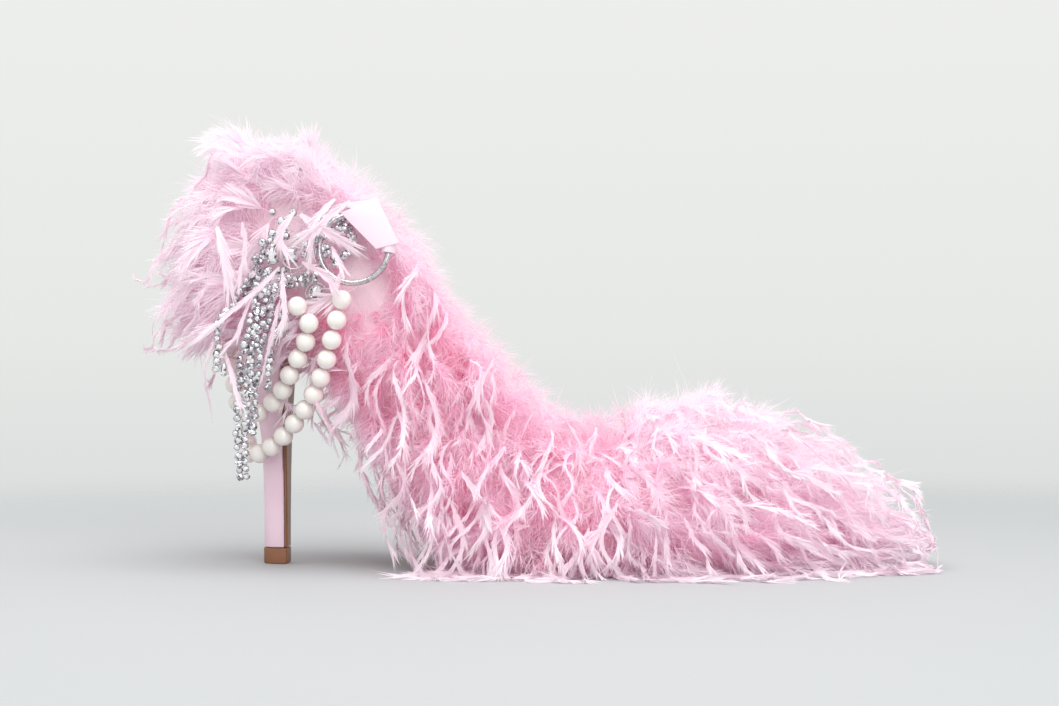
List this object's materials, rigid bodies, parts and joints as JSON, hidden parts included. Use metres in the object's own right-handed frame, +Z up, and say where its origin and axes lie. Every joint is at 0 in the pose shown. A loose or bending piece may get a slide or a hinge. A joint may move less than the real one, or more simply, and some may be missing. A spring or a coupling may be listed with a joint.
{
  "type": "high heel shoe",
  "caption": "Right stiletto pump with pointed toe, covered in feather trim, with a crystal brooch, hanging crystal chains, pearl swags and a ringed strap tab.",
  "frame": {"origin": "on the floor, on the forefoot tread under the ball of the foot", "axes": "+X to the toe, +Y to the wearer's left, which is the shoe's inner side, +Z up"},
  "size_m": [0.3187, 0.1206, 0.1772],
  "materials": {
    "pink_feather": "downy feather trim, pale pink",
    "pink_satin": "satin cover, pale pink",
    "pale_lining": "smooth pale lining leather",
    "brown_leather": "smooth brown sole leather",
    "silver": "polished silver plate",
    "crystal": "foiled crystal stones in silver cups",
    "pearl": "creamy pearl lustre"
  },
  "bodies": {
    "root": {"upper": "pink_satin", "insole": "pale_lining", "outsole": "brown_leather", "heel": "pink_satin", "top_piece": "brown_leather", "feathers_counter": "pink_feather", "feathers_outer": "pink_feather", "feathers_inner": "pink_feather", "feathers_toe": "pink_feather", "strap_tab": "pink_satin", "ring": "silver", "brooch": "crystal", "pearl_swag_outer": "pearl", "pearl_swag_inner": "pearl", "crystal_chain_long": "crystal", "crystal_chain_double": "crystal", "crystal_chain_short": "crystal", "crystal_chain_back": "crystal"}
  },
  "joints": []
}
